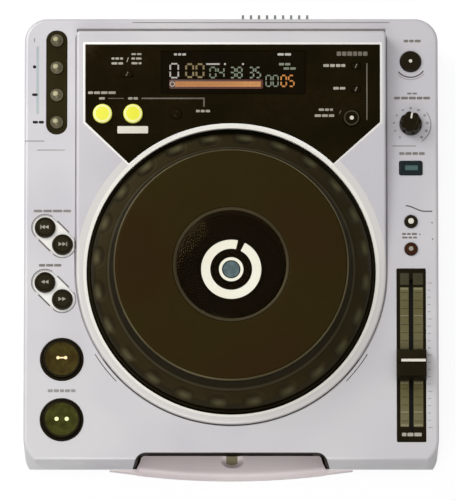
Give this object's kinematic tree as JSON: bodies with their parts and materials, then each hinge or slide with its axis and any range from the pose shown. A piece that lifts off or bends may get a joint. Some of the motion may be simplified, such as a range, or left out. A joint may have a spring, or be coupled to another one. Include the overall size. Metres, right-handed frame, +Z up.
{
  "type": "tabletop dj cd player",
  "caption": "Flat silver disc player with a slot in its front edge, a large dimpled jog wheel, a black display panel behind it, transport buttons at the left and a tempo fader at the right.",
  "frame": {"origin": "on the surface it stands on, under the middle of the whole outline", "axes": "+X to the player's right, +Y to its rear, +Z up"},
  "size_m": [0.305, 0.346, 0.107],
  "materials": {
    "case_silver": "metallic silver, fine satin",
    "panel_black": "piano black gloss",
    "display_glass": "smoked display glass",
    "jog_window": "smoked clear disc",
    "jog_display": "dark display with a white ring",
    "jog_plastic": "dark brown black, fine grain",
    "jog_touch": "dark brown black, flat satin",
    "trim_black": "satin black",
    "button_black": "black, glossy",
    "knob_black": "black, soft satin",
    "button_olive": "smoked, unlit lamp ring",
    "point_smoke": "smoked clear caps",
    "button_yellow": "yellow, lit",
    "button_teal": "dark teal, lit",
    "steel_sheet": "dark grey sheet",
    "steel_bright": "zinc plated",
    "sink_aluminium": "bare extrusion",
    "rubber_black": "matt",
    "board_green": "circuit board"
  },
  "bodies": {
    "case": {"top_case": "case_silver", "disc_lip": "case_silver", "slot_seal": "rubber_black", "base_pan": "steel_sheet", "foot_front_left": "rubber_black", "foot_front_right": "rubber_black", "foot_rear_left": "rubber_black", "foot_rear_right": "rubber_black", "rear_panel": "steel_sheet", "power_inlet": "trim_black", "audio_jacks": "trim_black", "heat_sink": "sink_aluminium", "cue_inlay": "trim_black", "cue_ring": "trim_black", "play_ring": "trim_black", "fader_plate": "trim_black", "switch_board": "board_green", "display_panel": "panel_black", "display_glass": "display_glass", "jog_well": "trim_black", "jog_display": "jog_display", "jog_post": "steel_bright", "jog_bearing": "steel_bright", "mech_chassis": "steel_bright", "spindle_motor": "steel_bright", "main_board": "board_green", "power_board": "board_green"},
    "jog": {"jog_ring": "jog_plastic", "jog_plate": "jog_touch", "jog_window": "jog_window", "encoder_disc": "trim_black"},
    "cue_point_button_1": {"cue_point_button_1": "point_smoke"},
    "cue_point_button_2": {"cue_point_button_2": "point_smoke"},
    "cue_point_button_3": {"cue_point_button_3": "point_smoke"},
    "cue_point_button_4": {"cue_point_button_4": "point_smoke"},
    "track_back_button": {"track_back_button": "button_black"},
    "track_forward_button": {"track_forward_button": "button_black"},
    "search_back_button": {"search_back_button": "button_black"},
    "search_forward_button": {"search_forward_button": "button_black"},
    "cue_button": {"cue_button": "button_olive"},
    "play_button": {"play_button": "button_olive"},
    "eject_button": {"eject_button": "button_black"},
    "jog_mode_button": {"jog_mode_button": "button_teal"},
    "tempo_range_button": {"tempo_range_button": "button_black"},
    "master_tempo_button": {"master_tempo_button": "button_black"},
    "loop_in_button": {"loop_in_button": "button_yellow"},
    "loop_out_button": {"loop_out_button": "button_yellow"},
    "reloop_button": {"reloop_button": "button_black"},
    "return_button": {"return_button": "button_black"},
    "time_mode_button": {"time_mode_button": "button_black"},
    "memory_button": {"memory_button": "button_black"},
    "call_button": {"call_button": "button_black"},
    "jog_adjust_knob": {"jog_adjust_knob": "knob_black"},
    "fader_cap": {"fader_cap": "knob_black"},
    "power_switch": {"power_switch": "trim_black"},
    "loading_roller": {"loading_roller": "rubber_black"},
    "turntable": {"turntable": "trim_black"},
    "pickup_sled": {"pickup_sled": "trim_black"},
    "clamp_arm": {"clamp_arm": "steel_bright"},
    "disc_clamp": {"disc_clamp": "trim_black"}
  },
  "joints": [
    {"name": "jog_spin", "type": "hinge", "parent": "case", "child": "jog", "pos_m": [0, -0.02278, 0.09], "axis": [0, 0, 1], "continuous": true},
    {"name": "cue_point_button_1_press", "type": "slide", "parent": "case", "child": "cue_point_button_1", "axis": [0, 0, -1], "range_m": [0, 0.0012], "stiffness_N_per_m": 800},
    {"name": "cue_point_button_2_press", "type": "slide", "parent": "case", "child": "cue_point_button_2", "axis": [0, 0, -1], "range_m": [0, 0.0012], "stiffness_N_per_m": 800},
    {"name": "cue_point_button_3_press", "type": "slide", "parent": "case", "child": "cue_point_button_3", "axis": [0, 0, -1], "range_m": [0, 0.0012], "stiffness_N_per_m": 800},
    {"name": "cue_point_button_4_press", "type": "slide", "parent": "case", "child": "cue_point_button_4", "axis": [0, 0, -1], "range_m": [0, 0.0012], "stiffness_N_per_m": 800},
    {"name": "track_back_button_press", "type": "slide", "parent": "case", "child": "track_back_button", "axis": [0, 0, -1], "range_m": [0, 0.0012], "stiffness_N_per_m": 800},
    {"name": "track_forward_button_press", "type": "slide", "parent": "case", "child": "track_forward_button", "axis": [0, 0, -1], "range_m": [0, 0.0012], "stiffness_N_per_m": 800},
    {"name": "search_back_button_press", "type": "slide", "parent": "case", "child": "search_back_button", "axis": [0, 0, -1], "range_m": [0, 0.0012], "stiffness_N_per_m": 800},
    {"name": "search_forward_button_press", "type": "slide", "parent": "case", "child": "search_forward_button", "axis": [0, 0, -1], "range_m": [0, 0.0012], "stiffness_N_per_m": 800},
    {"name": "cue_button_press", "type": "slide", "parent": "case", "child": "cue_button", "axis": [0, 0, -1], "range_m": [0, 0.0012], "stiffness_N_per_m": 800},
    {"name": "play_button_press", "type": "slide", "parent": "case", "child": "play_button", "axis": [0, 0, -1], "range_m": [0, 0.0012], "stiffness_N_per_m": 800},
    {"name": "eject_button_press", "type": "slide", "parent": "case", "child": "eject_button", "axis": [0, 0, -1], "range_m": [0, 0.0012], "stiffness_N_per_m": 800},
    {"name": "jog_mode_button_press", "type": "slide", "parent": "case", "child": "jog_mode_button", "axis": [0, 0, -1], "range_m": [0, 0.0012], "stiffness_N_per_m": 800},
    {"name": "tempo_range_button_press", "type": "slide", "parent": "case", "child": "tempo_range_button", "axis": [0, 0, -1], "range_m": [0, 0.0012], "stiffness_N_per_m": 800},
    {"name": "master_tempo_button_press", "type": "slide", "parent": "case", "child": "master_tempo_button", "axis": [0, 0, -1], "range_m": [0, 0.0012], "stiffness_N_per_m": 800},
    {"name": "loop_in_button_press", "type": "slide", "parent": "case", "child": "loop_in_button", "axis": [0, 0.0784, -0.9969], "range_m": [0, 0.0012], "stiffness_N_per_m": 800},
    {"name": "loop_out_button_press", "type": "slide", "parent": "case", "child": "loop_out_button", "axis": [0, 0.0784, -0.9969], "range_m": [0, 0.0012], "stiffness_N_per_m": 800},
    {"name": "reloop_button_press", "type": "slide", "parent": "case", "child": "reloop_button", "axis": [0, 0.0784, -0.9969], "range_m": [0, 0.0012], "stiffness_N_per_m": 800},
    {"name": "return_button_press", "type": "slide", "parent": "case", "child": "return_button", "axis": [0, 0.0784, -0.9969], "range_m": [0, 0.0012], "stiffness_N_per_m": 800},
    {"name": "time_mode_button_press", "type": "slide", "parent": "case", "child": "time_mode_button", "axis": [0, 0.0784, -0.9969], "range_m": [0, 0.0012], "stiffness_N_per_m": 800},
    {"name": "memory_button_press", "type": "slide", "parent": "case", "child": "memory_button", "axis": [0, 0.0784, -0.9969], "range_m": [0, 0.0012], "stiffness_N_per_m": 800},
    {"name": "call_button_press", "type": "slide", "parent": "case", "child": "call_button", "axis": [0, 0.0784, -0.9969], "range_m": [0, 0.0012], "stiffness_N_per_m": 800},
    {"name": "jog_adjust_turn", "type": "hinge", "parent": "case", "child": "jog_adjust_knob", "pos_m": [0.1324, 0.08798, 0.082], "axis": [0, 0, 1], "range_deg": [-150, 150]},
    {"name": "tempo_slide", "type": "slide", "parent": "case", "child": "fader_cap", "axis": [0, 1, 0], "range_m": [-0.045, 0.06]},
    {"name": "power_rock", "type": "hinge", "parent": "case", "child": "power_switch", "pos_m": [-0.062, 0.15493, 0.04], "axis": [1, 0, 0], "range_deg": [0, 9]},
    {"name": "roller_spin", "type": "hinge", "parent": "case", "child": "loading_roller", "pos_m": [0, -0.14517, 0.0451], "axis": [1, 0, 0], "continuous": true},
    {"name": "turntable_spin", "type": "hinge", "parent": "case", "child": "turntable", "pos_m": [0, -0.09527, 0.044], "axis": [0, 0, 1], "continuous": true},
    {"name": "sled_travel", "type": "slide", "parent": "case", "child": "pickup_sled", "axis": [0, 1, 0], "range_m": [0, 0.033]},
    {"name": "clamp_lower", "type": "hinge", "parent": "case", "child": "clamp_arm", "pos_m": [0, -0.02927, 0.059], "axis": [1, 0, 0], "range_deg": [0, 3]},
    {"name": "clamp_spin", "type": "hinge", "parent": "clamp_arm", "child": "disc_clamp", "pos_m": [0, -0.09527, 0.056], "axis": [0, 0, 1], "continuous": true}
  ]
}
